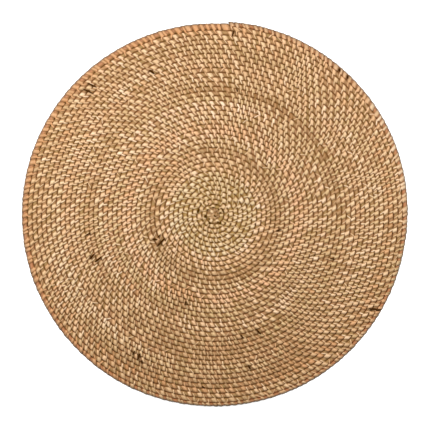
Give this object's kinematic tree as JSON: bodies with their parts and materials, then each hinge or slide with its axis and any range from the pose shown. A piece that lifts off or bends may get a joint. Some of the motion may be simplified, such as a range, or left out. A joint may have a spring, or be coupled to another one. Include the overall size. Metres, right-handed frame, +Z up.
{
  "type": "rattan placemat",
  "caption": "Round flat placemat of one wrapped rattan coil, laid as a spiral and stitched turn to turn, to set a plate on.",
  "frame": {"origin": "middle of the mat's outline, on the flat underside", "axes": "+Z up through the thickness, +X and +Y across the mat, with the coil's end near +Y"},
  "size_m": [0.381, 0.3788, 0.005],
  "materials": {
    "rattan": "natural split rattan, satin"
  },
  "bodies": {
    "root": {"mat": "rattan"}
  },
  "joints": []
}
